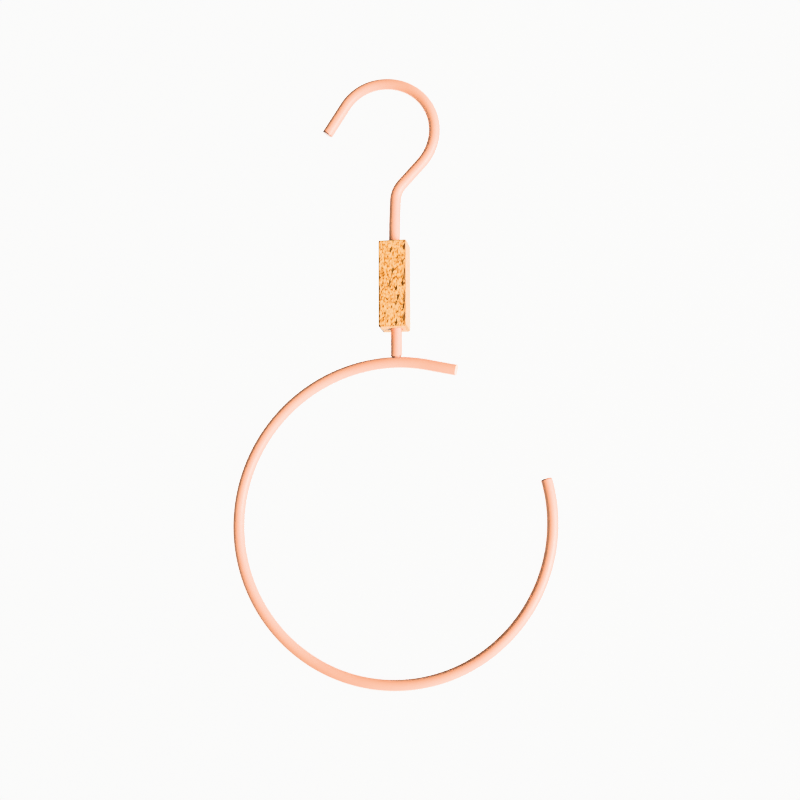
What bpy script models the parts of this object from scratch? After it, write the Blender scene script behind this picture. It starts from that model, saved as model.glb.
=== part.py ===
"""Open-ring scarf hanger: a bent wire hook that swivels in a beech block, with
a short stem below the block welded to the crown of an open wire ring.

Metres, +Z up, front facing -Y. The origin is the rail seat, the inner top of
the hook, where a wardrobe rail carries the hanger.
"""

import math

import bmesh
import bpy
from mathutils import Vector

MM = 0.001

# Wire: 5.0 mm steel with 0.1 mm of powder coat all round.
WIRE_D = 5.2 * MM
WIRE_SIDES_RES = 6            # 16 sides round the wire
END_CHAMFER = 0.35 * MM       # deburred edge on every cut end
STEP_LONG = 5.0               # degrees of bend between stations on the ring
STEP_SHORT = 8.0              # and on the hook
CLEAR = 0.3 * MM              # gap between neighbouring pieces

# Hook, followed upwards from the block's top face.
HOOK_RISE = 22.5 * MM         # stem above the block, almost straight
HOOK_RISE_BEND = -3.0         # degrees; minus bends to the right
HOOK_KNEE_R = 13.1 * MM       # knee that throws the stem to the right
HOOK_KNEE_BEND = -39.8
HOOK_FLANK = 14.3 * MM        # straight between knee and bow
HOOK_BOW_R = 25.7 * MM        # main bow
HOOK_BOW_BEND = 146.2
HOOK_NOSE_R = 23.1 * MM       # the bow tightens a little towards the nose
HOOK_NOSE_BEND = 43.7
HOOK_TIP = 17.5 * MM          # straight run to the cut tip

# Hook stem inside the block, lengths below the block's top face.
STEM_IN = 15.5 * MM
GROOVE_TOP, GROOVE_BOTTOM = 12.4 * MM, 13.6 * MM
GROOVE_D = 4.2 * MM

# Beech block.
BLOCK_W = 13.8 * MM           # square section
BLOCK_L = 44.0 * MM
BLOCK_SHIFT = 0.0 * MM        # block centre, to the right of the hook stem
BLOCK_EDGE = 0.8 * MM         # eased edges
TOP_BORE_D, TOP_BORE_DEPTH = 8.6 * MM, 16.6 * MM
LOW_BORE_D, LOW_BORE_DEPTH = 6.4 * MM, 16.4 * MM

# Swivel bush in the top bore, screwed into the wood.
BUSH_OD, BUSH_ROOT_D = 8.0 * MM, 7.0 * MM
BUSH_TOP, BUSH_BOTTOM = 0.4 * MM, 11.5 * MM
BUSH_PITCH = 1.5 * MM
# Thrust washer and retaining clip under the bush.
WASHER_OD, WASHER_T = 7.6 * MM, 0.6 * MM
CLIP_OD, CLIP_T, CLIP_SLOT = 7.4 * MM, 0.6 * MM, 3.4 * MM

# Lower stem and its knurled insert.
LOW_STEM_X = 0.9 * MM         # its axis, to the right of the hook stem
LOW_STEM_EXPOSED = 14.0 * MM  # block's lower face to the ring's crown
STUD_D = 4.0 * MM             # M4 end
STUD_L = 8.4 * MM
INSERT_OD, INSERT_L = 5.8 * MM, 9.0 * MM
COPE = 0.8 * MM               # how far the stem's foot reaches round the ring

# Open ring, followed both ways from its crown above the centre.
RING_R_CROWN = 78.9 * MM
RING_RIGHT = ((30.0 * MM, 1.5), (80.0 * MM, 10.7))   # from the crown to the short end
RING_RIGHT_TIP = 14.6 * MM    # straight run to the short end
# Left of the crown the radius eases in and out again: (radius, degrees of arc).
RING_LEFT = ((RING_R_CROWN, 80.1), (77.8 * MM, 69.4), (76.4 * MM, 71.3), (77.6 * MM, 64.0))

COLLECTION = "open_ring_scarf_hanger"


def chain(start, heading, runs, step):
    """Stations along a flat bent wire: (x, z, heading) after each short step.

    runs holds (length, radius, bend in degrees); a straight has radius None.
    """
    x, z = start
    h = math.radians(heading)
    out = [(x, z, h)]
    for length, radius, bend in runs:
        if radius is None:
            x += length * math.cos(h)
            z += length * math.sin(h)
            out.append((x, z, h))
            continue
        turn = math.radians(bend)
        n = max(1, math.ceil(abs(bend) / step))
        side = 1.0 if turn > 0 else -1.0
        cx = x - side * radius * math.sin(h)
        cz = z + side * radius * math.cos(h)
        for i in range(1, n + 1):
            a = h + turn * i / n
            out.append((cx + side * radius * math.sin(a), cz - side * radius * math.cos(a), a))
        x, z, h = out[-1]
    return out


def clean_scene():
    for ob in list(bpy.data.objects):
        bpy.data.objects.remove(ob, do_unlink=True)
    for c in list(bpy.data.collections):
        bpy.data.collections.remove(c)


def collection(name):
    c = bpy.data.collections.new(name)
    bpy.context.scene.collection.children.link(c)
    return c


def material(name, colour, roughness, metallic):
    m = bpy.data.materials.new(name)
    m.use_nodes = True
    b = m.node_tree.nodes["Principled BSDF"]
    b.inputs["Base Color"].default_value = (*colour, 1.0)
    b.inputs["Roughness"].default_value = roughness
    b.inputs["Metallic"].default_value = metallic
    return m


def smooth(mesh, angle=35.0):
    mesh.shade_smooth()
    mesh.set_sharp_from_angle(angle=math.radians(angle))


def add(name, mesh, coll, mat=None):
    ob = bpy.data.objects.new(name, mesh)
    coll.objects.link(ob)
    if mat is not None:
        mesh.materials.append(mat)
    return ob


def wire(name, stations, diameter, coll, mat=None, chamfer=END_CHAMFER):
    """A wire with chamfered cut ends, as a closed mesh."""
    pts = [Vector((x, 0.0, z)) for x, z, _ in stations]
    r = diameter / 2
    rows = [(pts[0], 1 - chamfer / r)]
    rows.append((pts[0] + (pts[1] - pts[0]).normalized() * chamfer, 1.0))
    rows += [(p, 1.0) for p in pts[1:-1]]
    rows.append((pts[-1] + (pts[-2] - pts[-1]).normalized() * chamfer, 1.0))
    rows.append((pts[-1], 1 - chamfer / r))
    cu = bpy.data.curves.new(name + "_path", "CURVE")
    cu.dimensions = "3D"
    cu.bevel_depth = r
    cu.bevel_resolution = WIRE_SIDES_RES
    cu.use_fill_caps = True
    cu.resolution_u = 1
    cu.render_resolution_u = 0
    sp = cu.splines.new("POLY")
    sp.points.add(len(rows) - 1)
    for p, (co, rad) in zip(sp.points, rows):
        p.co = (*co, 1.0)
        p.radius = rad
    path = bpy.data.objects.new(name + "_path", cu)
    coll.objects.link(path)
    bpy.context.view_layer.update()
    dg = bpy.context.evaluated_depsgraph_get()
    mesh = bpy.data.meshes.new_from_object(path.evaluated_get(dg))
    mesh.name = name
    bm = bmesh.new()
    bm.from_mesh(mesh)
    bmesh.ops.remove_doubles(bm, verts=bm.verts, dist=1e-6)
    bmesh.ops.recalc_face_normals(bm, faces=bm.faces)
    bm.to_mesh(mesh)
    bm.free()
    mesh.materials.clear()
    ob = add(name, mesh, coll, mat)
    ob.matrix_world = path.matrix_world
    bpy.data.objects.remove(path, do_unlink=True)
    bpy.data.curves.remove(cu)
    smooth(mesh)
    return ob


def turned(name, profile, coll, mat=None, closed=True, steps=32):
    """A part turned about its own Z axis from (radius, height) points."""
    mesh = bpy.data.meshes.new(name)
    bm = bmesh.new()
    vs = [bm.verts.new((r, 0.0, z)) for r, z in profile]
    pairs = list(zip(vs, vs[1:]))
    if closed:
        pairs.append((vs[-1], vs[0]))
    for a, b in pairs:
        bm.edges.new((a, b))
    bm.to_mesh(mesh)
    bm.free()
    ob = add(name, mesh, coll, mat)
    s = ob.modifiers.new("turn", "SCREW")
    s.axis = "Z"
    s.angle = math.radians(360)
    s.steps = s.render_steps = steps
    s.use_merge_vertices = True
    s.merge_threshold = 1e-6
    return ob


def rod_cutter(name, diameter, z_low, z_high, x, coll):
    """A plain drilled hole, upright."""
    mesh = bpy.data.meshes.new(name)
    bm = bmesh.new()
    bmesh.ops.create_cone(bm, cap_ends=True, segments=32, radius1=diameter / 2,
                          radius2=diameter / 2, depth=z_high - z_low)
    bm.to_mesh(mesh)
    bm.free()
    ob = add(name, mesh, coll)
    ob.location = (x, 0.0, (z_low + z_high) / 2)
    return ob


def box(name, size, coll, mat=None):
    mesh = bpy.data.meshes.new(name)
    bm = bmesh.new()
    bmesh.ops.create_cube(bm, size=1.0)
    bmesh.ops.scale(bm, vec=size, verts=bm.verts)
    bm.to_mesh(mesh)
    bm.free()
    return add(name, mesh, coll, mat)


def cut(target, cutter):
    cutter.hide_render = True
    cutter.display_type = "WIRE"
    m = target.modifiers.new("cut_" + cutter.name, "BOOLEAN")
    m.operation = "DIFFERENCE"
    m.solver = "EXACT"
    m.object = cutter


def ridges(r_crest, r_root, z_top, z_bottom, pitch):
    """Outer side of a threaded or knurled sleeve, top to bottom."""
    n = max(1, int((z_top - z_bottom) / pitch))
    p = (z_top - z_bottom) / n
    pts = [(r_root, z_top)]
    for i in range(n):
        z = z_top - i * p
        pts.append((r_crest, z - p * 0.40))
        pts.append((r_crest, z - p * 0.60))
        pts.append((r_root, z - p))
    return pts


def main():
    clean_scene()
    parts = collection(COLLECTION)
    tools = collection("cutters")

    coat = material("powder_coat_salmon", (0.90, 0.50, 0.36), 0.42, 0.0)
    beech = material("beech", (0.86, 0.56, 0.28), 0.60, 0.0)
    brass = material("brass", (0.80, 0.60, 0.28), 0.32, 1.0)
    steel = material("zinc_plated_steel", (0.66, 0.67, 0.70), 0.35, 1.0)

    r = WIRE_D / 2

    # The hook's centreline, with x = 0 on its stem and z = 0 on the block's top face.
    rise_r = HOOK_RISE / math.radians(abs(HOOK_RISE_BEND))
    runs = [
        (0.0, rise_r, HOOK_RISE_BEND),
        (0.0, HOOK_KNEE_R, HOOK_KNEE_BEND),
        (HOOK_FLANK, None, 0.0),
        (0.0, HOOK_BOW_R, HOOK_BOW_BEND),
        (0.0, HOOK_NOSE_R, HOOK_NOSE_BEND),
        (HOOK_TIP, None, 0.0),
    ]
    fine = chain((0.0, 0.0), 90.0, runs, 1.0)
    crown = max(fine, key=lambda s: s[1])
    # The rail seat is under the crown, so the block's top lies at:
    stem_x = -crown[0]
    top_z = -(crown[1] - r)
    place = Vector((stem_x, 0.0, top_z))

    hook_line = [(0.0, -STEM_IN, math.radians(90))] + chain((0.0, 0.0), 90.0, runs, STEP_SHORT)
    hook = wire("hook_wire", hook_line, WIRE_D, parts, coat)
    groove = turned("clip_groove_cutter",
                    [(r + MM, -GROOVE_TOP), (r + MM, -GROOVE_BOTTOM),
                     (GROOVE_D / 2, -GROOVE_BOTTOM), (GROOVE_D / 2, -GROOVE_TOP)], tools)
    cut(hook, groove)
    hook.location = place
    groove.location = place

    # Everything below hangs on the hook and turns about its stem.
    swivel = bpy.data.objects.new("hook_swivel_axis", None)
    swivel.empty_display_size = 0.02
    swivel.location = place
    parts.objects.link(swivel)

    # Swivel bush: bored for the stem, ridged outside to grip the wood.
    bush_bore = r + CLEAR
    bush = turned("swivel_bush",
                  ridges(BUSH_OD / 2, BUSH_ROOT_D / 2, -BUSH_TOP, -BUSH_BOTTOM, BUSH_PITCH)
                  + [(bush_bore, -BUSH_BOTTOM), (bush_bore, -BUSH_TOP)], parts, brass)

    # Washer and clip keep the stem in the bush and turn with the hook.
    washer_top = BUSH_BOTTOM + CLEAR
    washer = turned("thrust_washer",
                    [(WASHER_OD / 2, -washer_top), (WASHER_OD / 2, -washer_top - WASHER_T),
                     (r + CLEAR, -washer_top - WASHER_T), (r + CLEAR, -washer_top)],
                    parts, steel)
    clip_top = washer_top + WASHER_T + CLEAR
    clip_bore = GROOVE_D / 2 + CLEAR
    clip = turned("retaining_clip",
                  [(CLIP_OD / 2, -clip_top), (CLIP_OD / 2, -clip_top - CLIP_T),
                   (clip_bore, -clip_top - CLIP_T), (clip_bore, -clip_top)], parts, steel)
    slot = box("clip_slot_cutter", (CLIP_OD, CLIP_SLOT, 4 * CLIP_T), tools)
    slot.location = place + Vector((CLIP_OD / 2, 0.0, -clip_top - CLIP_T / 2))
    cut(clip, slot)
    washer.location = place
    clip.location = place

    # Beech block: eased edges, then a bore from each end.
    block = box("wood_block", (BLOCK_W, BLOCK_W, BLOCK_L), parts, beech)
    ease = block.modifiers.new("eased_edges", "BEVEL")
    ease.width = BLOCK_EDGE
    ease.segments = 3
    ease.limit_method = "ANGLE"
    top_bore = rod_cutter("top_bore_cutter", TOP_BORE_D, -TOP_BORE_DEPTH, 2 * MM, 0.0, tools)
    low_bore = rod_cutter("low_bore_cutter", LOW_BORE_D, -BLOCK_L - 2 * MM,
                          -BLOCK_L + LOW_BORE_DEPTH, LOW_STEM_X, tools)
    for c in (top_bore, low_bore):
        c.location += place
        cut(block, c)

    # Knurled insert at the inner end of the lower bore.
    insert_top = -BLOCK_L + LOW_BORE_DEPTH - CLEAR
    insert_low = insert_top - INSERT_L
    insert = turned("threaded_insert",
                    ridges(INSERT_OD / 2, INSERT_OD / 2 - 0.25 * MM, insert_top, insert_low, 1.5 * MM)
                    + [(STUD_D / 2 + CLEAR, insert_low), (STUD_D / 2 + CLEAR, insert_top)],
                    parts, brass)

    # Open ring: the crown stands on the lower stem's axis, its tangent level.
    crown_z = -BLOCK_L - LOW_STEM_EXPOSED - r
    right = chain((LOW_STEM_X, crown_z), 0.0,
                  [(0.0, radius, -bend) for radius, bend in RING_RIGHT] + [(RING_RIGHT_TIP, None, 0.0)],
                  STEP_LONG)
    left = chain((LOW_STEM_X, crown_z), 180.0,
                 [(0.0, radius, bend) for radius, bend in RING_LEFT], STEP_LONG)
    ring = wire("ring_wire", right[::-1] + left[1:], WIRE_D, parts, coat)

    # Lower stem: M4 stud, shoulder, and a foot coped to the ring's crown.
    shoulder = insert_low - CLEAR
    foot = -BLOCK_L - LOW_STEM_EXPOSED - COPE
    stud_top = shoulder + STUD_L
    low_stem = turned("lower_stem",
                      [(0.0, stud_top), (STUD_D / 2 - END_CHAMFER, stud_top),
                       (STUD_D / 2, stud_top - END_CHAMFER), (STUD_D / 2, shoulder),
                       (r - END_CHAMFER, shoulder), (r, shoulder - END_CHAMFER),
                       (r, foot + END_CHAMFER), (r - END_CHAMFER, foot), (0.0, foot)],
                      parts, coat, closed=False)
    saddle = wire("ring_saddle_cutter",
                  chain((LOW_STEM_X + 8 * MM, crown_z), 180.0, [(16 * MM, None, 0.0)], STEP_LONG),
                  WIRE_D + 2 * CLEAR, tools)
    saddle.location = place
    cut(low_stem, saddle)

    for ob, at in ((block, Vector((BLOCK_SHIFT, 0.0, -BLOCK_L / 2))),
                   (bush, Vector((0.0, 0.0, 0.0))),
                   (insert, Vector((LOW_STEM_X, 0.0, 0.0))),
                   (low_stem, Vector((LOW_STEM_X, 0.0, 0.0))),
                   (ring, Vector((0.0, 0.0, 0.0)))):
        ob.parent = swivel
        ob.location = at
    bpy.context.view_layer.update()
    for ob in (bush, washer, clip, insert, low_stem, block):
        smooth(ob.data)
    bpy.context.view_layer.update()


main()
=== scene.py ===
import math
import random

import bmesh
import bpy
from mathutils import Matrix, Vector, noise


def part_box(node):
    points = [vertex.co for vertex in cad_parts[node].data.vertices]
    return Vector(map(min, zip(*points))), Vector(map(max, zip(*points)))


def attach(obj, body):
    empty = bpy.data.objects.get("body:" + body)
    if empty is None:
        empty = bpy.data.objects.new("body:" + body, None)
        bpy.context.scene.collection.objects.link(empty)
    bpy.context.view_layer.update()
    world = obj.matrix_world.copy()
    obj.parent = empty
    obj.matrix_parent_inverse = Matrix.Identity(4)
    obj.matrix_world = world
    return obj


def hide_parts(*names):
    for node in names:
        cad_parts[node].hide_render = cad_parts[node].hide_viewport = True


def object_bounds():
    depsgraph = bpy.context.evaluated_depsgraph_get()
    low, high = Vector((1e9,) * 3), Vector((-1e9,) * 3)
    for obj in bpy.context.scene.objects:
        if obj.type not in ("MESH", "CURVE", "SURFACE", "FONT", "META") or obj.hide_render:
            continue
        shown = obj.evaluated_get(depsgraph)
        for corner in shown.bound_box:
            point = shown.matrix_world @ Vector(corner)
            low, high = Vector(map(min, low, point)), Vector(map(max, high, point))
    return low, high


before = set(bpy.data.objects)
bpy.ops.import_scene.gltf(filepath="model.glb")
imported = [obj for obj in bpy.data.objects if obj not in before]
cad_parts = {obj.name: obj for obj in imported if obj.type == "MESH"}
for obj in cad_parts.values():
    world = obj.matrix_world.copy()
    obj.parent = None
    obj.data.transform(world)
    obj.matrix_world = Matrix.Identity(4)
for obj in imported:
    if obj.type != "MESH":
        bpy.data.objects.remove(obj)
cad_low, cad_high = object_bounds()

MM = 0.001

# ---------------------------------------------------------------- places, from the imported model
block_lo, block_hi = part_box("wood_block")
washer_lo, washer_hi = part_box("thrust_washer")
low_lo, low_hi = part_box("lower_stem")
ring_lo, ring_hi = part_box("ring_wire")
bush_lo, bush_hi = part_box("swivel_bush")
insert_lo, insert_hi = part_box("threaded_insert")
clip_lo, clip_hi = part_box("retaining_clip")

STEM_X = (washer_lo.x + washer_hi.x) / 2          # hook stem's axis
TOP_Z = block_hi.z                                # block's top face
LOW_X = (low_lo.x + low_hi.x) / 2                 # lower stem's axis
BLOCK_C = (block_lo + block_hi) / 2
BLOCK_H = (block_hi - block_lo) / 2

# The design's own sizes, as in the CAD source.
WIRE_R = 2.6 * MM
CROWN_Z = ring_hi.z - WIRE_R                      # ring's centreline at its crown
HOOK_RUNS = [
    (0.0, 22.5 * MM / math.radians(3.0), -3.0),
    (0.0, 13.1 * MM, -39.8),
    (14.3 * MM, None, 0.0),
    (0.0, 25.7 * MM, 146.2),
    (0.0, 23.1 * MM, 43.7),
    (17.5 * MM, None, 0.0),
]
RING_RIGHT = [(0.0, 30.0 * MM, -1.5), (0.0, 80.0 * MM, -10.7), (14.6 * MM, None, 0.0)]
RING_LEFT = [(0.0, 78.9 * MM, 80.1), (0.0, 77.8 * MM, 69.4), (0.0, 76.4 * MM, 71.3), (0.0, 77.6 * MM, 64.0)]
STEM_IN = 15.5 * MM
GROOVE = (12.4 * MM, 13.6 * MM, 2.1 * MM)


# ---------------------------------------------------------------- mesh building
def chain(start, heading, runs, step, straight=2.0 * MM):
    """Stations (x, z, heading) along a flat bent wire."""
    x, z = start
    h = math.radians(heading)
    out = [(x, z, h)]
    for length, radius, bend in runs:
        if radius is None:
            n = max(1, math.ceil(length / straight))
            for i in range(1, n + 1):
                out.append((x + length * i / n * math.cos(h), z + length * i / n * math.sin(h), h))
            x, z, h = out[-1]
            continue
        turn = math.radians(bend)
        n = max(1, math.ceil(abs(bend) / step))
        side = 1.0 if turn > 0 else -1.0
        cx = x - side * radius * math.sin(h)
        cz = z + side * radius * math.cos(h)
        for i in range(1, n + 1):
            a = h + turn * i / n
            out.append((cx + side * radius * math.sin(a), cz - side * radius * math.cos(a), a))
        x, z, h = out[-1]
    return out


def reverse(stations):
    return [(x, z, h + math.pi) for x, z, h in reversed(stations)]


def link(name, mesh):
    ob = bpy.data.objects.new(name, mesh)
    bpy.context.scene.collection.objects.link(ob)
    return ob


def rows_to_mesh(name, rows, attribute=None, values=None, angle=40.0):
    """A closed skin from rows of points; a row with one point is a pole."""
    bm = bmesh.new()
    layer = bm.verts.layers.float.new(attribute) if attribute else None
    made = [[bm.verts.new(p) for p in row] for row in rows]
    if layer is not None:
        for vs, value in zip(made, values):
            for v in vs:
                v[layer] = value
    for a, b in zip(made, made[1:]):
        if len(a) == 1 and len(b) == 1:
            continue
        n = max(len(a), len(b))
        for i in range(n):
            j = (i + 1) % n
            if len(a) == 1:
                bm.faces.new((a[0], b[i], b[j]))
            elif len(b) == 1:
                bm.faces.new((a[i], b[0], a[j]))
            else:
                bm.faces.new((a[i], b[i], b[j], a[j]))
    bmesh.ops.recalc_face_normals(bm, faces=bm.faces)
    mesh = bpy.data.meshes.new(name)
    bm.to_mesh(mesh)
    bm.free()
    mesh.shade_smooth()
    mesh.set_sharp_from_angle(angle=math.radians(angle))
    return mesh


def end_rows(radius, edge, steps=5):
    """(distance back from the end plane, radius) over a softly broken edge, from the face out."""
    rows = [(0.0, (radius - edge) * k / 3) for k in (0, 1, 2, 3)]
    for k in range(1, steps + 1):
        a = math.radians(90.0 * k / steps)
        rows.append((edge * (1 - math.cos(a)), radius - edge + edge * math.sin(a)))
    return rows + [(edge + 0.16 * MM, radius), (edge + 0.38 * MM, radius)]


def end_painted_shade(back, r, radius, edge, face):
    """How much painted shade a row of a cut end gets: the face's own value (negative for a painted highlight), 1
    round the rim, 0 on the wire.
    """
    if face < 0:
        return face if back < edge * 0.5 else 0.0
    if back <= 0 and r < radius - edge * 1.01:
        return face
    return 1.0 if back <= edge + 0.2 * MM else 0.0


def sweep(name, stations, radius, sides=56, edge=0.42 * MM, profile=None, faces=(0.35, 0.35)):
    """A round wire along flat stations, with broken edges on both cut ends.
    profile maps the distance along the first straight run to a smaller radius.
    faces: the painted shade of the two end faces, negative for one painted pale as a highlight."""
    def circle(x, z, h, r):
        if r < 1e-9:
            return [Vector((x, 0.0, z))]
        nx, nz = -math.sin(h), math.cos(h)
        return [Vector((x + nx * r * math.cos(t), r * math.sin(t), z + nz * r * math.cos(t)))
                for t in (2 * math.pi * i / sides for i in range(sides))]
    rows, painted_shade_levels = [], []
    x, z, h = stations[0]
    for back, r in end_rows(radius, edge):
        rows.append(circle(x + back * math.cos(h), z + back * math.sin(h), h, r))
        painted_shade_levels.append(end_painted_shade(back, r, radius, edge, faces[0]))
    travelled = 0.0
    extra = list(profile or [])
    px, pz = x, z
    for x, z, h in stations[1:-1]:
        step = math.hypot(x - px, z - pz)
        while extra and extra[0][0] <= travelled + step:
            at, r = extra.pop(0)
            k = (at - travelled) / step
            rows.append(circle(px + (x - px) * k, pz + (z - pz) * k, h, r))
            painted_shade_levels.append(0.0)
        travelled += step
        if travelled > edge * 2.2:
            rows.append(circle(x, z, h, radius))
            painted_shade_levels.append(0.0)
        px, pz = x, z
    x, z, h = stations[-1]
    tail = []
    for back, r in end_rows(radius, edge):
        tail.append((circle(x - back * math.cos(h), z - back * math.sin(h), h, r),
                     end_painted_shade(back, r, radius, edge, faces[1])))
    for row, w in reversed(tail):
        rows.append(row)
        painted_shade_levels.append(w)
    return link(name, rows_to_mesh(name, rows, "painted_shade_and_glint", painted_shade_levels))


def lathe(name, profile, centre, sides=96, angle=35.0):
    """A turned piece: profile of (radius, z) round a vertical axis; closed where it starts and ends off the axis."""
    cx, cz = centre
    rows = []
    for r, z in profile:
        if r < 1e-9:
            rows.append([Vector((cx, 0.0, cz + z))])
        else:
            rows.append([Vector((cx + r * math.cos(t), r * math.sin(t), cz + z))
                         for t in (2 * math.pi * i / sides for i in range(sides))])
    bm = bmesh.new()
    made = [[bm.verts.new(p) for p in row] for row in rows]
    pairs = list(zip(made, made[1:]))
    if len(rows[0]) > 1 and len(rows[-1]) > 1:
        pairs.append((made[-1], made[0]))
    for a, b in pairs:
        n = max(len(a), len(b))
        for i in range(n):
            j = (i + 1) % n
            if len(a) == 1:
                bm.faces.new((a[0], b[i], b[j]))
            elif len(b) == 1:
                bm.faces.new((a[i], b[0], a[j]))
            else:
                bm.faces.new((a[i], b[i], b[j], a[j]))
    bmesh.ops.recalc_face_normals(bm, faces=bm.faces)
    mesh = bpy.data.meshes.new(name)
    bm.to_mesh(mesh)
    bm.free()
    mesh.shade_smooth()
    mesh.set_sharp_from_angle(angle=math.radians(angle))
    return link(name, mesh)


def cut(target, cutters, angle=35.0):
    """Cuts the target, applies the result and removes the cutters."""
    for c in cutters:
        m = target.modifiers.new("cut_" + c.name, "BOOLEAN")
        m.operation = "DIFFERENCE"
        m.solver = "EXACT"
        m.object = c
    bpy.context.view_layer.update()
    dg = bpy.context.evaluated_depsgraph_get()
    mesh = bpy.data.meshes.new_from_object(target.evaluated_get(dg))
    target.modifiers.clear()
    old = target.data
    target.data = mesh
    bpy.data.meshes.remove(old)
    for c in cutters:
        bpy.data.objects.remove(c, do_unlink=True)
    bm = bmesh.new()
    bm.from_mesh(mesh)
    bmesh.ops.remove_doubles(bm, verts=bm.verts, dist=1e-7)
    bmesh.ops.recalc_face_normals(bm, faces=bm.faces)
    bm.to_mesh(mesh)
    bm.free()
    mesh.shade_smooth()
    mesh.set_sharp_from_angle(angle=math.radians(angle))
    return target


# ---------------------------------------------------------------- hook and ring
hook_line = [(STEM_X, TOP_Z - STEM_IN, math.radians(90))]
hook_line += [(STEM_X, TOP_Z - STEM_IN + k * 1.0 * MM, math.radians(90)) for k in range(1, 15)]
hook_line += chain((STEM_X, TOP_Z), 90.0, HOOK_RUNS, 1.5)
groove_profile = [
    (STEM_IN - GROOVE[1], WIRE_R), (STEM_IN - GROOVE[1] + 0.001 * MM, GROOVE[2]),
    (STEM_IN - GROOVE[0] - 0.001 * MM, GROOVE[2]), (STEM_IN - GROOVE[0], WIRE_R)]


def grooved_hook():
    """The hook, with the clip's groove turned in the stem's hidden end."""
    low = STEM_IN - GROOVE[1]
    high = STEM_IN - GROOVE[0]
    keep = []
    for s in hook_line:
        d = s[1] - (TOP_Z - STEM_IN)
        if abs(s[0] - STEM_X) < 1e-9 and low - 0.2 * MM < d < high + 0.2 * MM and d > 0:
            continue
        keep.append(s)
    # the hook's tip face gets full painted shade
    return sweep("hook_wire_fine", keep, WIRE_R, profile=groove_profile, faces=(0.35, 1.0))


hook = grooved_hook()

right = chain((LOW_X, CROWN_Z), 0.0, RING_RIGHT, 0.75)
left = chain((LOW_X, CROWN_Z), 180.0, RING_LEFT, 0.75)
# the ring's first end face gets a painted highlight; its other end gets painted shade on the rim
ring = sweep("ring_wire_fine", reverse(right)[:-1] + left, WIRE_R, faces=(-1.0, 0.35))


# ---------------------------------------------------------------- lower stem
def make_lower_stem():
    """Stud with thread crests, plain stem, and a foot coped to the ring with a weld core under it."""
    sides = 96
    top = low_hi.z
    shoulder = insert_lo.z - 0.3 * MM
    gap = 0.3 * MM
    flat = CROWN_Z + WIRE_R - 0.8 * MM            # how far the foot reaches round the ring

    def circle(r, zf):
        out = []
        for i in range(sides):
            t = 2 * math.pi * i / sides
            out.append(Vector((LOW_X + r * math.cos(t), r * math.sin(t), zf(r * math.sin(t)))))
        return out

    def foot(y):
        return max(flat, CROWN_Z + math.sqrt(max(0.0, (WIRE_R + gap) ** 2 - y * y)))

    def core(y):
        return CROWN_Z + math.sqrt(max(0.0, WIRE_R ** 2 - y * y)) - 0.06 * MM

    rows = [[Vector((LOW_X, 0.0, top))]]
    painted_shade_levels = [0.0]

    def add(r, zf, w=0.0):
        rows.append(circle(r, zf if callable(zf) else (lambda y, z=zf: z)))
        painted_shade_levels.append(w)

    add(1.2 * MM, top)
    add(1.55 * MM, top)
    z = top - 0.4 * MM
    pitch = 0.7 * MM
    while z - pitch > shoulder + 0.5 * MM:         # thread crests
        add(2.0 * MM, z)
        add(2.0 * MM, z - 0.1 * MM)
        add(1.66 * MM, z - pitch * 0.55)
        add(1.66 * MM, z - pitch * 0.65)
        z -= pitch
    add(2.0 * MM, z)
    add(2.0 * MM, shoulder)
    add(WIRE_R - 0.3 * MM, shoulder)
    for k in range(1, 5):
        a = math.radians(90 * k / 4)
        add(WIRE_R - 0.3 * MM + 0.3 * MM * math.sin(a), shoulder - 0.3 * MM * (1 - math.cos(a)))
    bottom = TOP_Z - 2 * BLOCK_H.z
    for k in range(0, 9):
        add(WIRE_R, shoulder + (bottom - shoulder) * (k + 1) / 9)
    for k in range(1, 8):
        f = k / 8
        add(WIRE_R, lambda y, f=f: bottom + (foot(y) + 0.5 * MM - bottom) * f)
    edge = 0.28 * MM
    add(WIRE_R, lambda y: foot(y) + 0.80 * MM)
    # rows from here down carry painted shade: the dark crevice round the foot where it meets the ring
    add(WIRE_R, lambda y: foot(y) + 0.62 * MM, 1.0)
    for k in range(0, 6):
        a = math.radians(90 * k / 5)
        r = WIRE_R - edge * (1 - math.cos(a))
        add(r, lambda y, a=a: foot(y) + edge * (1 - math.sin(a)), 1.0)
    add(2.16 * MM, lambda y: foot(y) - 0.0 * MM, 1.0)
    add(2.12 * MM, lambda y: foot(y) - 0.05 * MM, 1.0)
    add(2.10 * MM, core, 1.0)
    add(1.4 * MM, core, 1.0)
    add(0.7 * MM, core, 1.0)
    rows.append([Vector((LOW_X, 0.0, core(0.0)))])
    painted_shade_levels.append(1.0)
    return link("lower_stem_fine", rows_to_mesh("lower_stem_fine", rows, "painted_shade_and_glint", painted_shade_levels, 50.0))


low_stem = make_lower_stem()


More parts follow.
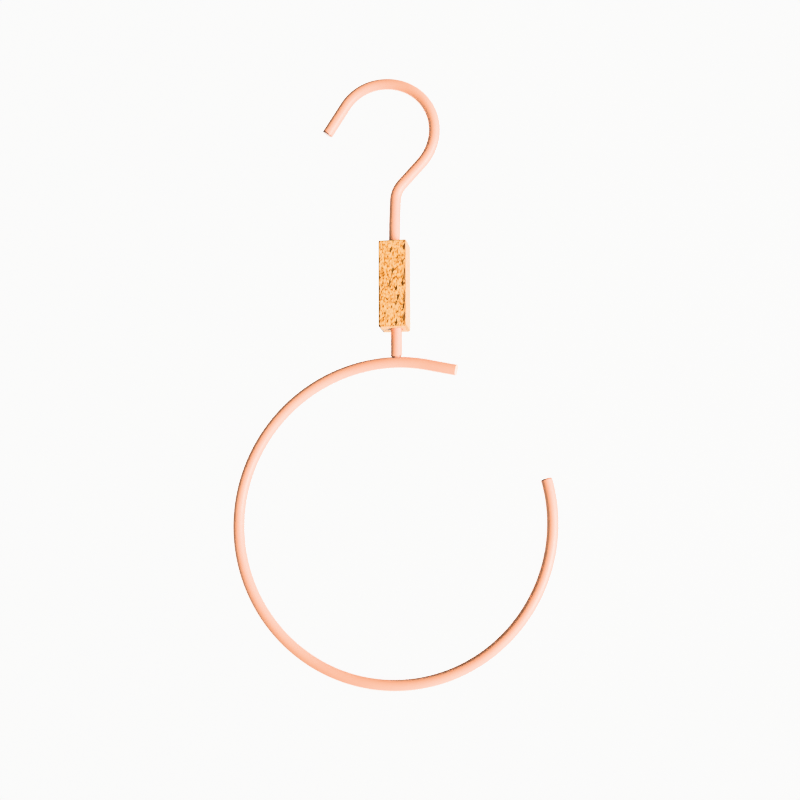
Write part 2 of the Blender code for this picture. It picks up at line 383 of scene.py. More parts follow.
# ---------------------------------------------------------------- beech block
def make_block():
    """A sanded beech block: edges eased by hand, a little more here and a little less there."""
    rnd = 0.8 * MM

    def ticks(half):
        out = [0.0, 0.12, 0.26, 0.42, 0.6, 0.8, 1.0, 1.4]
        out = [v * MM for v in out]
        n = max(2, round((2 * half - 2 * out[-1]) / (1.2 * MM)))
        inner = [out[-1] + (2 * half - 2 * out[-1]) * k / n for k in range(1, n)]
        return [-half + v for v in out + inner] + [half - v for v in reversed(out)]

    tx, ty, tz = ticks(BLOCK_H.x), ticks(BLOCK_H.y), ticks(BLOCK_H.z)
    bm = bmesh.new()
    eased = bm.verts.layers.float.new("eased")
    cache = {}

    def vert(x, y, z):
        key = (round(x * 1e7), round(y * 1e7), round(z * 1e7))
        if key not in cache:
            cache[key] = bm.verts.new((x, y, z))
        return cache[key]

    def patch(us, vs, place):
        for u0, u1 in zip(us, us[1:]):
            for v0, v1 in zip(vs, vs[1:]):
                bm.faces.new([vert(*place(u, v)) for u, v in ((u0, v0), (u1, v0), (u1, v1), (u0, v1))])

    hx, hy, hz = BLOCK_H
    patch(tx, tz, lambda u, v: (u, -hy, v))
    patch(tx, tz, lambda u, v: (-u, hy, v))
    patch(ty, tz, lambda u, v: (hx, u, v))
    patch(ty, tz, lambda u, v: (-hx, -u, v))
    patch(tx, ty, lambda u, v: (u, v, hz))
    patch(tx, ty, lambda u, v: (u, -v, -hz))
    for v in bm.verts:
        p = v.co.copy()
        e = rnd * (0.86 + 0.16 * noise.noise(Vector((p.x, p.y, p.z)) * 90.0) + 0.06 * noise.noise(p * 420.0))
        e = min(e, rnd)
        inner = Vector((max(-hx + e, min(hx - e, p.x)), max(-hy + e, min(hy - e, p.y)),
                        max(-hz + e, min(hz - e, p.z))))
        d = p - inner
        away = sorted((hx - abs(p.x), hy - abs(p.y), hz - abs(p.z)))[1]
        v[eased] = max(0.0, min(1.0, 1.0 - (away - 0.25 * MM) / (0.65 * MM)))
        if d.length > 1e-9:
            v.co = inner + d.normalized() * e
        v.co += BLOCK_C
    bmesh.ops.recalc_face_normals(bm, faces=bm.faces)
    mesh = bpy.data.meshes.new("wood_block_fine")
    bm.to_mesh(mesh)
    bm.free()
    block = link("wood_block_fine", mesh)
    r, deep, c = 4.3 * MM, 16.6 * MM, 0.22 * MM
    top_bore = lathe("top_bore_cutter", [
        (0.0, -deep - 0.9 * MM), (r, -deep), (r, -c), (r + c, 0.0), (r + c, 2 * MM), (0.0, 2 * MM)],
        (STEM_X, TOP_Z))
    r, deep = 3.2 * MM, 16.4 * MM
    bottom = TOP_Z - 2 * hz
    low_bore = lathe("low_bore_cutter", [
        (0.0, -2 * MM), (r + c, -2 * MM), (r + c, 0.0), (r, c), (r, deep), (0.0, deep + 0.7 * MM)],
        (LOW_X, bottom))
    return cut(block, [top_bore, low_bore], 32.0)


block = make_block()


# ---------------------------------------------------------------- hardware inside the block
def ridged(outer, root, z_top, z_low, pitch, lead=0.25 * MM):
    n = max(1, int((z_top - z_low) / pitch))
    p = (z_top - z_low) / n
    pts = [(root - 0.02 * MM, z_top)]
    for i in range(n):
        z = z_top - i * p
        pts += [(root, z - p * 0.12), (outer, z - p * 0.40), (outer, z - p * 0.58), (root, z - p * 0.88)]
    pts.append((root - 0.02 * MM, z_low))
    return pts


bush = lathe("swivel_bush_fine", [(2.9 * MM, 0.25 * MM - 0.65 * MM - 0.2 * MM), (3.1 * MM, -0.4 * MM)]
             + ridged(4.0 * MM, 3.5 * MM, -0.4 * MM, -11.5 * MM, 1.5 * MM)
             + [(3.05 * MM, -11.5 * MM), (2.9 * MM, -11.35 * MM)], (STEM_X, TOP_Z))
washer_t, washer_b = washer_hi.z - TOP_Z, washer_lo.z - TOP_Z
washer = lathe("thrust_washer_fine", [
    (2.9 * MM, washer_t - 0.05 * MM), (2.96 * MM, washer_t), (3.7 * MM, washer_t), (3.8 * MM, washer_t - 0.1 * MM),
    (3.8 * MM, washer_b + 0.1 * MM), (3.7 * MM, washer_b), (2.96 * MM, washer_b), (2.9 * MM, washer_b + 0.05 * MM)],
    (STEM_X, TOP_Z))
clip_t, clip_b = clip_hi.z - TOP_Z, clip_lo.z - TOP_Z
clip = lathe("retaining_clip_fine", [
    (2.4 * MM, clip_t - 0.05 * MM), (2.45 * MM, clip_t), (3.62 * MM, clip_t), (3.7 * MM, clip_t - 0.08 * MM),
    (3.7 * MM, clip_b + 0.08 * MM), (3.62 * MM, clip_b), (2.45 * MM, clip_b), (2.4 * MM, clip_b + 0.05 * MM)],
    (STEM_X, TOP_Z))


def slot_cutter():
    bm = bmesh.new()
    bmesh.ops.create_cube(bm, size=1.0)
    bmesh.ops.scale(bm, vec=(7.4 * MM, 3.4 * MM, 2.4 * MM), verts=bm.verts)
    bmesh.ops.translate(bm, vec=(STEM_X + 3.7 * MM, 0.0, (clip_lo.z + clip_hi.z) / 2), verts=bm.verts)
    mesh = bpy.data.meshes.new("clip_slot_cutter")
    bm.to_mesh(mesh)
    bm.free()
    return link("clip_slot_cutter", mesh)


cut(clip, [slot_cutter()])
insert_t, insert_b = insert_hi.z - TOP_Z, insert_lo.z - TOP_Z
insert = lathe("threaded_insert_fine", [(2.3 * MM, insert_t - 0.1 * MM), (2.38 * MM, insert_t)]
               + ridged(2.9 * MM, 2.65 * MM, insert_t, insert_b, 0.75 * MM)
               + [(2.38 * MM, insert_b), (2.3 * MM, insert_b + 0.1 * MM)], (LOW_X, TOP_Z))


# ---------------------------------------------------------------- node helpers
class Nodes:
    def __init__(self, tree):
        self.t = tree
        self.n = tree.nodes
        self.l = tree.links

    def add(self, kind, **props):
        node = self.n.new(kind)
        for k, v in props.items():
            setattr(node, k, v)
        return node

    def put(self, node, name, value):
        if hasattr(value, "links") or isinstance(value, bpy.types.NodeSocket):
            self.l.new(value, node.inputs[name])
        else:
            node.inputs[name].default_value = value

    def math(self, op, a, b=0.0, clamp=False):
        m = self.add("ShaderNodeMath", operation=op, use_clamp=clamp)
        self.put(m, 0, a)
        self.put(m, 1, b)
        return m.outputs[0]

    def vec(self, op, a, b=(0.0, 0.0, 0.0), out=0):
        m = self.add("ShaderNodeVectorMath", operation=op)
        self.put(m, 0, a)
        if op != "LENGTH":
            self.put(m, 1, b)
        return m.outputs["Value"] if op in ("LENGTH", "DOT_PRODUCT", "DISTANCE") else m.outputs[0]

    def noise(self, vector, scale, detail=2.0, rough=0.5, distort=0.0):
        m = self.add("ShaderNodeTexNoise")
        self.put(m, "Vector", vector)
        m.inputs["Scale"].default_value = scale
        m.inputs["Detail"].default_value = detail
        m.inputs["Roughness"].default_value = rough
        m.inputs["Distortion"].default_value = distort
        return m.outputs["Fac"]

    def voronoi(self, vector, scale, feature="F1", rand=1.0):
        m = self.add("ShaderNodeTexVoronoi", feature=feature)
        self.put(m, "Vector", vector)
        m.inputs["Scale"].default_value = scale
        m.inputs["Randomness"].default_value = rand
        return m

    def span(self, value, a, b, c=0.0, d=1.0, smooth=True):
        m = self.add("ShaderNodeMapRange", interpolation_type="SMOOTHSTEP" if smooth else "LINEAR", clamp=True)
        self.put(m, "Value", value)
        m.inputs["From Min"].default_value = a
        m.inputs["From Max"].default_value = b
        m.inputs["To Min"].default_value = c
        m.inputs["To Max"].default_value = d
        return m.outputs["Result"]

    def mix(self, fac, a, b, blend="MIX"):
        m = self.add("ShaderNodeMix", data_type="RGBA", blend_type=blend)
        self.put(m, 0, fac)
        for i, v in ((6, a), (7, b)):
            if isinstance(v, bpy.types.NodeSocket):
                self.l.new(v, m.inputs[i])
            else:
                m.inputs[i].default_value = (*v, 1.0) if len(v) == 3 else v
        return m.outputs[2]

    def bump(self, height, strength, distance, normal=None):
        m = self.add("ShaderNodeBump")
        m.inputs["Strength"].default_value = strength
        m.inputs["Distance"].default_value = distance
        self.put(m, "Height", height)
        if normal is not None:
            self.l.new(normal, m.inputs["Normal"])
        return m.outputs["Normal"]


def new_material(name):
    m = bpy.data.materials.new(name)
    m.use_nodes = True
    t = m.node_tree
    bsdf = t.nodes["Principled BSDF"]
    return m, Nodes(t), bsdf


# ---------------------------------------------------------------- salmon powder coat
def powder_coat():
    m, n, b = new_material("salmon_powder_coat")
    obj = n.add("ShaderNodeTexCoord").outputs["Object"]
    broad = n.noise(obj, 55.0, 2.0)                       # about 18 mm
    peel = n.noise(obj, 620.0, 2.0, 0.45)                 # orange peel, about 1.5 mm
    grain = n.noise(obj, 3400.0, 2.0, 0.6)                # powder grain
    tone = n.mix(n.span(broad, 0.35, 0.65), (0.905, 0.412, 0.236), (0.870, 0.378, 0.212))
    speck = n.voronoi(obj, 420.0)
    dots = n.span(speck.outputs["Distance"], 0.06, 0.13, 1.0, 0.0)
    pick = n.span(n.noise(obj, 300.0, 1.0), 0.60, 0.68)
    tone = n.mix(n.math("MULTIPLY", dots, n.math("MULTIPLY", pick, 0.30)), tone, (0.55, 0.22, 0.13))
    tone = n.mix(n.span(grain, 0.3, 0.7, 0.0, 0.10), tone, (0.94, 0.50, 0.36))
    # painted shade: the rims and end faces of the cut ends are darkened where they turn out of the light, and so is
    # the lower stem's foot where it meets the ring
    painted_shading = n.add("ShaderNodeAttribute", attribute_name="painted_shade_and_glint").outputs["Fac"]
    patchy = n.span(n.noise(obj, 900.0, 3.0, 0.6), 0.35, 0.62)
    rim = n.span(painted_shading, 0.30, 1.0)
    rim = n.math("MULTIPLY", rim, n.math("ADD", n.math("MULTIPLY", patchy, 0.12), 0.84))
    tone = n.mix(rim, tone, (0.085, 0.028, 0.017))
    # painted highlight: the ring's straight end face is painted pale where the light catches it
    tone = n.mix(n.math("MULTIPLY", n.span(painted_shading, -0.15, -0.90), n.math("ADD", n.math("MULTIPLY", patchy, 0.2), 0.75)),
                 tone, (0.93, 0.76, 0.64))
    # painted shade: the upward-facing top of the wire is darkened, where less light falls
    up = n.add("ShaderNodeSeparateXYZ")
    n.l.new(n.add("ShaderNodeTexCoord").outputs["Normal"], up.inputs[0])
    top_shade = n.math("MULTIPLY", n.span(up.outputs["Z"], 0.66, 0.99, 0.0, 0.34), n.span(broad, 0.25, 0.7, 0.75, 1.0))
    tone = n.mix(top_shade, tone, (0.330, 0.115, 0.070))
    # painted shade where the stem turns into the block
    high = n.add("ShaderNodeSeparateXYZ")
    n.l.new(obj, high.inputs[0])
    contact_shade = n.math("MULTIPLY", n.span(high.outputs["Z"], TOP_Z, TOP_Z + 2.2 * MM, 0.60, 0.0),
                   n.span(high.outputs["Z"], TOP_Z - 2.0 * MM, TOP_Z - 1.0 * MM))
    tone = n.mix(contact_shade, tone, (0.300, 0.090, 0.045))
    # polish where the hook rubs on a rail
    polish_and_bore_shadow = n.vec("LENGTH", n.vec("MULTIPLY", obj, (1.0, 1.0, 2.6)))
    polish_and_bore_shadow = n.math("MULTIPLY", n.span(polish_and_bore_shadow, 0.004, 0.013, 1.0, 0.0), n.span(n.noise(obj, 800.0, 3.0), 0.35, 0.7))
    tone = n.mix(n.math("MULTIPLY", polish_and_bore_shadow, 0.22), tone, (0.66, 0.29, 0.18))
    n.l.new(tone, b.inputs["Base Color"])
    rough = n.span(peel, 0.3, 0.7, 0.36, 0.46)
    rough = n.math("SUBTRACT", rough, n.math("MULTIPLY", polish_and_bore_shadow, 0.10))
    n.l.new(rough, b.inputs["Roughness"])
    b.inputs["IOR"].default_value = 1.5
    b.inputs["Specular IOR Level"].default_value = 0.5
    b.inputs["Sheen Weight"].default_value = 0.22
    b.inputs["Sheen Roughness"].default_value = 0.40
    nor = n.bump(peel, 0.22, 0.00012)
    nor = n.bump(grain, 0.10, 0.00003, nor)
    n.l.new(nor, b.inputs["Normal"])
    return m


# ---------------------------------------------------------------- beech
# Stronger flecks on the front: middle (x, z from the block's middle), half width and half length in mm, depth.
FLECKS = [
    (-0.6, 16.8, 0.42, 1.35, 0.95), (-3.3, 15.3, 0.44, 1.05, 0.50), (0.2, 6.2, 0.54, 1.80, 0.90),
    (-1.1, 0.1, 0.42, 2.60, 0.85), (2.1, -2.6, 0.44, 1.40, 1.00), (2.9, -7.4, 0.52, 1.60, 0.95),
    (1.9, -10.4, 0.46, 1.40, 0.85), (5.2, -0.4, 0.46, 1.40, 1.00), (5.4, 10.7, 0.52, 1.25, 0.65),
    (6.2, 5.0, 0.56, 2.60, 0.85), (6.1, 18.4, 0.50, 1.70, 1.00), (6.1, -8.7, 0.52, 1.50, 0.85),
    (5.6, -12.2, 0.48, 1.90, 1.00), (6.0, -17.0, 0.60, 2.40, 0.90), (2.0, -20.1, 0.50, 1.80, 0.95),
    (-3.2, -14.7, 0.52, 1.40, 0.60), (-2.0, -17.0, 0.38, 1.05, 0.70), (-0.5, -12.3, 0.38, 1.05, 0.60),
    (-6.6, -4.2, 0.50, 2.70, 0.90), (-1.8, 11.2, 0.40, 1.30, 0.50), (3.0, -14.8, 0.40, 1.40, 0.55),
    (3.6, 13.2, 0.38, 1.05, 0.50), (-4.6, -0.6, 0.38, 1.35, 0.45), (-4.9, 8.1, 0.38, 1.25, 0.45),
    (4.2, 3.6, 0.38, 1.20, 0.45), (-3.9, -8.2, 0.38, 1.25, 0.50), (0.7, 20.8, 0.50, 0.60, 0.70),
]


def beech():
    m, n, b = new_material("beech_block")
    obj = n.add("ShaderNodeTexCoord").outputs["Object"]
    local = n.vec("SUBTRACT", obj, tuple(BLOCK_C))
    # the grain leans a few degrees off the block's length and wanders a little
    lean = n.add("ShaderNodeVectorRotate", rotation_type="AXIS_ANGLE")
    lean.inputs["Axis"].default_value = (0.1, 1.0, 0.0)
    lean.inputs["Angle"].default_value = math.radians(-10.0)
    n.l.new(local, lean.inputs["Vector"])
    wander = n.add("ShaderNodeTexNoise")
    n.l.new(n.vec("MULTIPLY", local, (1.0, 1.0, 0.5)), wander.inputs["Vector"])
    wander.inputs["Scale"].default_value = 420.0
    wander.inputs["Detail"].default_value = 2.0
    push = n.vec("MULTIPLY", n.vec("SUBTRACT", wander.outputs["Color"], (0.5, 0.5, 0.5)), (0.0007, 0.0007, 0.0))
    g = n.vec("ADD", lean.outputs[0], push)
    long3 = n.vec("MULTIPLY", g, (1.0, 1.0, 0.29))
    long8 = n.vec("MULTIPLY", g, (1.0, 1.0, 0.10))
    broad = n.noise(long8, 230.0, 2.0, 0.5, 0.3)          # early and late wood bands
    fine = n.noise(long3, 2700.0, 0.0, 0.50)              # fibre tone
    pores = n.noise(long3, 2900.0, 2.0, 0.6)
    # small ray cells: each its own tone, with thin darker lines between them
    cells = n.vec("MULTIPLY", g, (1.0, 1.0, 0.30))
    cell = n.voronoi(cells, 1700.0)
    part = n.add("ShaderNodeSeparateColor")
    n.l.new(cell.outputs["Color"], part.inputs[0])
    seam = n.span(n.voronoi(cells, 1700.0, "DISTANCE_TO_EDGE").outputs["Distance"], 0.0, 0.18, 1.0, 0.0)

    def weigh(value, middle, gain):
        return n.math("MULTIPLY", n.math("SUBTRACT", value, middle), gain)
    level = n.math("ADD", weigh(fine, 0.5, 3.5), 0.75)
    level = n.math("ADD", level, weigh(part.outputs[0], 0.5, 0.90))
    level = n.math("SUBTRACT", level, weigh(seam, 0.0, 0.46))
    level = n.math("SUBTRACT", level, weigh(pores, 0.5, 1.1))
    level = n.math("SUBTRACT", level, weigh(broad, 0.5, 0.35))
    # short dark ray flecks, spindle shaped along the grain

    def flecks(scale, stretch, lo, hi, chance, seed):
        v = n.vec("MULTIPLY", g, (1.0, 1.0, stretch))
        v = n.vec("ADD", v, (seed, seed * 0.7, seed * 1.3))
        spot = n.voronoi(v, scale)
        d = n.span(spot.outputs["Distance"], lo, hi, 1.0, 0.0)
        sep = n.add("ShaderNodeSeparateColor")
        n.l.new(spot.outputs["Color"], sep.inputs[0])
        return n.math("MULTIPLY", d, n.span(sep.outputs[0], chance, chance + 0.06))
    small = flecks(1000.0, 0.26, 0.16, 0.44, 0.60, 1.7)
    large = flecks(560.0, 0.26, 0.14, 0.34, 0.88, 4.1)
    level = n.math("SUBTRACT", level, weigh(small, 0.0, 0.20), True)
    ramp = n.add("ShaderNodeValToRGB")
    n.l.new(level, ramp.inputs[0])
    stops = ((0.0, (0.180, 0.056, 0.008)), (0.25, (0.370, 0.150, 0.034)), (0.50, (0.600, 0.286, 0.080)),
             (0.75, (0.775, 0.400, 0.138)), (1.0, (0.900, 0.530, 0.240)))
    ramp.color_ramp.elements[0].position, ramp.color_ramp.elements[1].position = 0.0, 1.0
    for at, _ in stops[1:-1]:
        ramp.color_ramp.elements.new(at)
    for element, (_, colour) in zip(ramp.color_ramp.elements, stops):
        element.color = (*colour, 1.0)
    tone = ramp.outputs[0]
    tone = n.mix(n.math("MULTIPLY", large, 0.30), tone, (0.16, 0.055, 0.010))
    side = n.vec("ADD", local, n.vec("MULTIPLY", push, (0.35, 0.0, 0.0)))
    deep = None
    for x, z, w, h, depth in FLECKS:
        d = n.vec("SUBTRACT", side, (x * MM, -BLOCK_H.y, z * MM))
        skew = n.add("ShaderNodeVectorRotate", rotation_type="Y_AXIS")
        skew.inputs["Angle"].default_value = math.radians(-9.0)
        n.l.new(d, skew.inputs["Vector"])
        d = n.vec("MULTIPLY", skew.outputs[0], (1 / (w * 1.18 * MM), 1 / (1.8 * MM), 1 / (h * 1.20 * MM)))
        mark = n.span(n.vec("LENGTH", d), 0.60, 1.12, depth, 0.0)
        deep = mark if deep is None else n.math("MAXIMUM", deep, mark)
    tone = n.mix(deep, tone, (0.060, 0.018, 0.002))
    # dark streaks beside the two front edges, heavier on the right
    where = n.add("ShaderNodeSeparateXYZ")
    n.l.new(local, where.inputs[0])
    streak = n.span(n.noise(n.vec("MULTIPLY", g, (1.0, 1.0, 0.34)), 1400.0, 1.0, 0.5), 0.46, 0.60)
    front = n.span(where.outputs["Y"], -BLOCK_H.y + 0.9 * MM, -BLOCK_H.y + 0.2 * MM)
    right_band = n.span(where.outputs["X"], BLOCK_H.x - 1.7 * MM, BLOCK_H.x - 1.0 * MM, 0.0, 0.85)
    left_band = n.span(where.outputs["X"], -BLOCK_H.x + 1.3 * MM, -BLOCK_H.x + 0.3 * MM, 0.0, 0.65)
    band = n.math("MULTIPLY", n.math("MULTIPLY", n.math("MAXIMUM", right_band, left_band), streak), front)
    tone = n.mix(band, tone, (0.110, 0.036, 0.005))
    # painted highlight: both side faces are made paler, standing in for the strong side light; the grain lines on
    # them are the wood's own
    sep = n.add("ShaderNodeSeparateXYZ")
    n.l.new(n.add("ShaderNodeTexCoord").outputs["Normal"], sep.inputs[0])
    side_faces = n.span(n.math("ABSOLUTE", sep.outputs["X"]), 0.75, 0.95)
    tone = n.mix(n.math("MULTIPLY", side_faces, 0.60), tone, (0.740, 0.490, 0.300))
    lines = n.span(n.noise(n.vec("MULTIPLY", g, (1.0, 1.0, 0.05)), 1300.0, 2.0, 0.55), 0.52, 0.66)
    tone = n.mix(n.math("MULTIPLY", n.math("MULTIPLY", side_faces, lines), 0.60), tone, (0.300, 0.135, 0.048))
    # end grain on the two sawn ends: denser, with rings across
    ends = n.span(n.math("ABSOLUTE", sep.outputs["Z"]), 0.75, 0.95)
    off = n.vec("ADD", local, (0.031, -0.012, 0.0))
    rings = n.add("ShaderNodeTexWave", wave_type="RINGS", rings_direction="Z", wave_profile="SAW")
    rings.inputs["Scale"].default_value = 95.0
    rings.inputs["Distortion"].default_value = 1.4
    rings.inputs["Detail"].default_value = 2.0
    rings.inputs["Detail Scale"].default_value = 3.0
    n.l.new(n.vec("MULTIPLY", off, (1.0, 1.0, 0.0)), rings.inputs["Vector"])
    dots = n.noise(n.vec("MULTIPLY", local, (1.0, 1.0, 0.05)), 3000.0, 2.0, 0.6)
    end_tone = n.mix(rings.outputs["Fac"], (0.74, 0.465, 0.255), (0.62, 0.350, 0.160))
    end_tone = n.mix(n.span(dots, 0.55, 0.72, 0.0, 0.5), end_tone, (0.33, 0.16, 0.06))
    tone = n.mix(ends, tone, end_tone)
    # the saw scorched the lower end's arrises

    def arris(axis, at, z, strength):
        a = n.math("SUBTRACT", where.outputs[axis], at)
        c = n.math("SUBTRACT", where.outputs["Z"], z)
        far = n.math("SQRT", n.math("ADD", n.math("MULTIPLY", a, a), n.math("MULTIPLY", c, c)))
        return n.span(far, 0.85 * MM, 1.40 * MM, strength, 0.0)
    burn = n.math("MAXIMUM", arris("X", -BLOCK_H.x, -BLOCK_H.z, 0.95), arris("X", BLOCK_H.x, -BLOCK_H.z, 0.45))
    burn = n.math("MAXIMUM", burn, arris("Y", BLOCK_H.y, -BLOCK_H.z, 0.75))
    for x, y in ((-BLOCK_H.x, -BLOCK_H.y), (BLOCK_H.x, BLOCK_H.y)):
        near = n.vec("LENGTH", n.vec("SUBTRACT", local, (x, y, -BLOCK_H.z)))
        burn = n.math("MAXIMUM", burn, n.span(near, 1.0 * MM, 1.7 * MM, 1.0, 0.0))
    tone = n.mix(burn, tone, (0.060, 0.020, 0.004))
    # painted shadow: the stem's shadow on the lower end face round its bore, heavier on the left
    polish_and_bore_shadow = n.vec("LENGTH", n.vec("MULTIPLY", n.vec("SUBTRACT", obj, (LOW_X, 0.0, 0.0)), (1.0, 1.0, 0.0)))
    polish_and_bore_shadow = n.math("MULTIPLY", n.span(polish_and_bore_shadow, 3.6 * MM, 5.2 * MM, 0.85, 0.0), ends)
    polish_and_bore_shadow = n.math("MULTIPLY", polish_and_bore_shadow, n.span(where.outputs["X"], LOW_X - BLOCK_C.x - 3.2 * MM, LOW_X - BLOCK_C.x - 0.5 * MM, 1.0, 0.25))
    tone = n.mix(polish_and_bore_shadow, tone, (0.190, 0.078, 0.018))
    # eased edges are darker from handling, in patches
    edge = n.add("ShaderNodeAttribute", attribute_name="eased").outputs["Fac"]
    smear = n.span(n.noise(n.vec("MULTIPLY", local, (1.0, 1.0, 0.42)), 560.0, 3.0, 0.65), 0.38, 0.58)
    dirt = n.math("MULTIPLY", edge, n.math("ADD", n.math("MULTIPLY", smear, 0.55), 0.42), True)
    sole = n.math("MULTIPLY", n.span(where.outputs["Z"], -BLOCK_H.z + 0.9 * MM, -BLOCK_H.z + 1.6 * MM, 0.45, 1.0),
                  n.span(where.outputs["Z"], BLOCK_H.z - 0.9 * MM, BLOCK_H.z - 1.6 * MM, 0.80, 1.0))
    dirt = n.math("MULTIPLY", dirt, sole)
    tone = n.mix(dirt, tone, (0.055, 0.018, 0.004))
    n.l.new(tone, b.inputs["Base Color"])
    rough = n.span(fine, 0.3, 0.7, 0.46, 0.60)
    n.l.new(rough, b.inputs["Roughness"])
    b.inputs["IOR"].default_value = 1.48
    b.inputs["Specular IOR Level"].default_value = 0.28
    height = n.math("SUBTRACT", n.math("MULTIPLY", fine, -0.6), n.math("MULTIPLY", large, 0.5))
    nor = n.bump(height, 0.35, 0.00012)
    nor = n.bump(pores, 0.18, 0.00005, nor)
    n.l.new(nor, b.inputs["Normal"])
    return m


# ---------------------------------------------------------------- metals
def metal(name, light, dark, rough_lo, rough_hi, lathe_lines=True):
    m, n, b = new_material(name)
    obj = n.add("ShaderNodeTexCoord").outputs["Object"]
    around = n.vec("MULTIPLY", n.vec("SUBTRACT", obj, (STEM_X, 0.0, 0.0)), (1.0, 1.0, 0.0))
    radius = n.vec("LENGTH", around)
    lines = n.add("ShaderNodeTexNoise", noise_dimensions="1D")
    n.l.new(radius, lines.inputs["W"])
    lines.inputs["Scale"].default_value = 9000.0
    lines.inputs["Detail"].default_value = 2.0
    stain = n.noise(obj, 500.0, 4.0, 0.6)
    tone = n.mix(n.span(stain, 0.38, 0.66), light, dark)
    n.l.new(tone, b.inputs["Base Color"])
    b.inputs["Metallic"].default_value = 1.0
    n.l.new(n.span(stain, 0.3, 0.7, rough_lo, rough_hi), b.inputs["Roughness"])
    nor = n.bump(lines.outputs["Fac"] if lathe_lines else n.noise(obj, 4000.0, 2.0), 0.25, 0.00003)
    n.l.new(nor, b.inputs["Normal"])
    return m


coat = powder_coat()
wood = beech()
brass = metal("turned_brass", (0.80, 0.60, 0.27), (0.62, 0.42, 0.16), 0.26, 0.42)
zinc = metal("zinc_plate", (0.72, 0.73, 0.76), (0.52, 0.54, 0.58), 0.28, 0.44)
spring = metal("phosphated_spring", (0.20, 0.20, 0.22), (0.10, 0.10, 0.12), 0.42, 0.60, False)

for piece, body, node, slot, material in (
        (hook, "hook", "hook_wire", "powder_coat", coat),
        (washer, "hook", "thrust_washer", "zinc_steel", zinc),
        (clip, "hook", "retaining_clip", "spring_steel", spring),
        (ring, "hanger", "ring_wire", "powder_coat", coat),
        (low_stem, "hanger", "lower_stem", "powder_coat", coat),
        (block, "hanger", "wood_block", "beech", wood),
        (bush, "hanger", "swivel_bush", "brass", brass),
        (insert, "hanger", "threaded_insert", "brass", brass)):
    piece.data.materials.clear()
    piece.data.materials.append(material)
    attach(piece, body)
    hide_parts(node)


# ---------------------------------------------------------------- stage: floor sweeping up into a wall
def make_stage():
    floor_z, wall_y, bend = cad_low.z - 0.30, 1.05, 0.45
    line = [(-6.0, floor_z), (-3.0, floor_z), (-1.0, floor_z)]
    n = 18
    for k in range(n + 1):
        a = math.radians(90.0 * k / n)
        line.append((wall_y - bend + bend * math.sin(a), floor_z + bend * (1 - math.cos(a))))
    line.append((wall_y, 2.5))
    bm = bmesh.new()
    xs = [-7.0, -2.5, 0.0, 2.5, 7.0]
    rows = [[bm.verts.new((x, y, z)) for x in xs] for y, z in line]
    for a, b in zip(rows, rows[1:]):
        for i in range(len(xs) - 1):
            bm.faces.new((a[i], a[i + 1], b[i + 1], b[i]))
    mesh = bpy.data.meshes.new("studio_sweep")
    bm.to_mesh(mesh)
    bm.free()
    mesh.shade_smooth()
    ob = link("studio_sweep", mesh)
    m = bpy.data.materials.new("studio_sweep_paper")
    m.use_nodes = True
    n = Nodes(m.node_tree)
    b = m.node_tree.nodes["Principled BSDF"]
    obj = n.add("ShaderNodeTexCoord").outputs["Object"]
    tone = n.mix(n.span(n.noise(obj, 3.0, 2.0), 0.3, 0.7), (0.050, 0.050, 0.050), (0.075, 0.075, 0.075))
    n.l.new(tone, b.inputs["Base Color"])
    b.inputs["Roughness"].default_value = 0.9
    b.inputs["Specular IOR Level"].default_value = 0.1
    b.inputs["Emission Color"].default_value = (1.0, 1.0, 0.995, 1.0)
    b.inputs["Emission Strength"].default_value = 2.0
    mesh.materials.append(m)
    ob.visible_diffuse = False
    ob.visible_glossy = False
    ob.visible_shadow = False


make_stage()


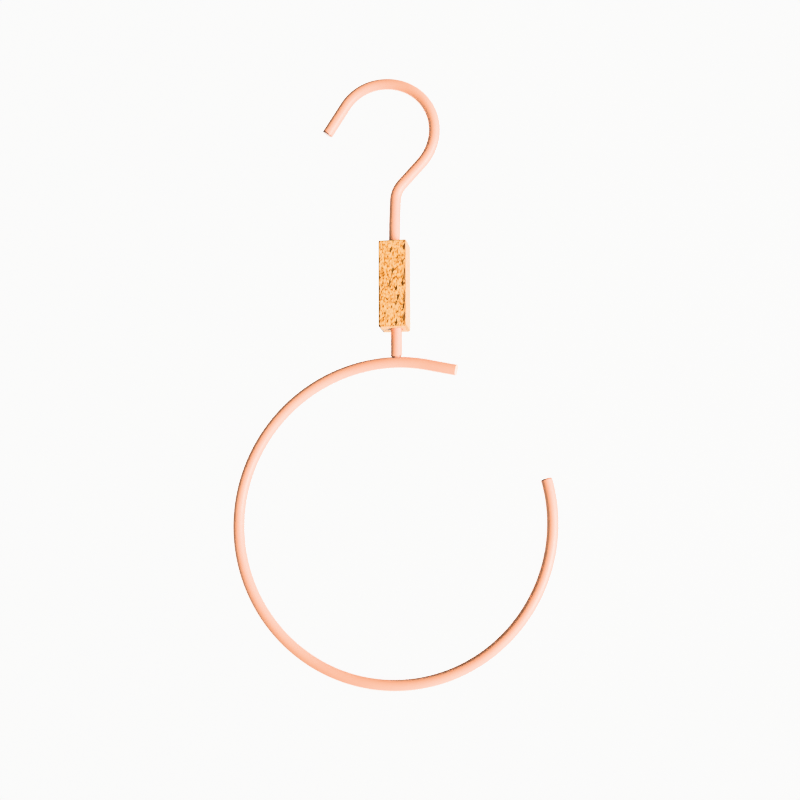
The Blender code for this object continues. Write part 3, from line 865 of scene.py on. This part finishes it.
# ---------------------------------------------------------------- light
def make_world():
    w = bpy.data.worlds.new("soft_room")
    bpy.context.scene.world = w
    w.use_nodes = True
    n = Nodes(w.node_tree)
    bg = w.node_tree.nodes["Background"]
    out = w.node_tree.nodes["World Output"]
    d = n.add("ShaderNodeTexCoord").outputs["Generated"]
    lit = Vector((0.80, 0.05, -0.60)).normalized()
    k = n.vec("DOT_PRODUCT", d, tuple(lit))
    strength = n.span(k, -0.50, 1.0, 0.42, 2.0, False)
    # darker above and behind
    up = n.vec("DOT_PRODUCT", d, tuple(Vector((-0.15, 0.28, 0.94)).normalized()))
    strength = n.math("MULTIPLY", strength, n.span(up, -0.25, 0.60, 1.0, 0.22))
    n.l.new(strength, bg.inputs["Strength"])
    bg.inputs["Color"].default_value = (1.0, 0.995, 0.985, 1.0)
    white = n.add("ShaderNodeBackground")
    white.inputs["Color"].default_value = (1.0, 1.0, 0.995, 1.0)
    white.inputs["Strength"].default_value = 2.0
    mix = n.add("ShaderNodeMixShader")
    path = n.add("ShaderNodeLightPath")
    n.l.new(path.outputs["Is Camera Ray"], mix.inputs[0])
    n.l.new(bg.outputs[0], mix.inputs[1])
    n.l.new(white.outputs[0], mix.inputs[2])
    n.l.new(mix.outputs[0], out.inputs["Surface"])


def area(name, toward, distance, size, size_y, watts, colour=(1.0, 0.99, 0.975)):
    light = bpy.data.lights.new(name, "AREA")
    light.shape = "RECTANGLE"
    light.size, light.size_y = size, size_y
    light.energy = watts
    light.color = colour
    ob = bpy.data.objects.new(name, light)
    bpy.context.scene.collection.objects.link(ob)
    middle = (cad_low + cad_high) / 2
    ob.location = middle + Vector(toward).normalized() * distance
    ob.rotation_mode = "QUATERNION"
    ob.rotation_quaternion = (middle - ob.location).to_track_quat("-Z", "Y")
    ob.visible_camera = False
    return ob


make_world()
area("key_softbox", (0.94, -0.24, -0.30), 1.5, 1.0, 1.0, 230.0)
area("back_fill", (-0.30, 1.0, 0.10), 1.5, 1.4, 1.4, 26.0)

# ---------------------------------------------------------------- camera
def make_camera():
    cam = bpy.data.cameras.new("camera")
    cam.lens = 60.0
    cam.sensor_width = 36.0
    cam.clip_start, cam.clip_end = 0.01, 50.0
    ob = bpy.data.objects.new("camera", cam)
    bpy.context.scene.collection.objects.link(ob)
    yaw, pitch, roll = (math.radians(v) for v in (8.460, 9.137, 0.195))
    flat = Vector((-math.sin(yaw), math.cos(yaw), 0.0))
    right_ = Vector((math.cos(yaw), math.sin(yaw), 0.0))
    forward = flat * math.cos(pitch) + Vector((0.0, 0.0, math.sin(pitch)))
    down = Vector((0.0, 0.0, -math.cos(pitch))) + flat * math.sin(pitch)
    r3 = right_ * math.cos(roll) + down * math.sin(roll)
    d3 = down * math.cos(roll) - right_ * math.sin(roll)
    turn = Matrix((r3, -d3, -forward)).transposed()
    at = Vector((STEM_X + 97.966 * MM, -640.107 * MM, TOP_Z - 183.684 * MM))
    ob.matrix_world = Matrix.Translation(at) @ turn.to_4x4()
    bpy.context.scene.camera = ob


make_camera()
view = bpy.context.scene.view_settings
view.view_transform = "Khronos PBR Neutral"
view.look = "None"
view.exposure = 0.0
view.gamma = 1.0
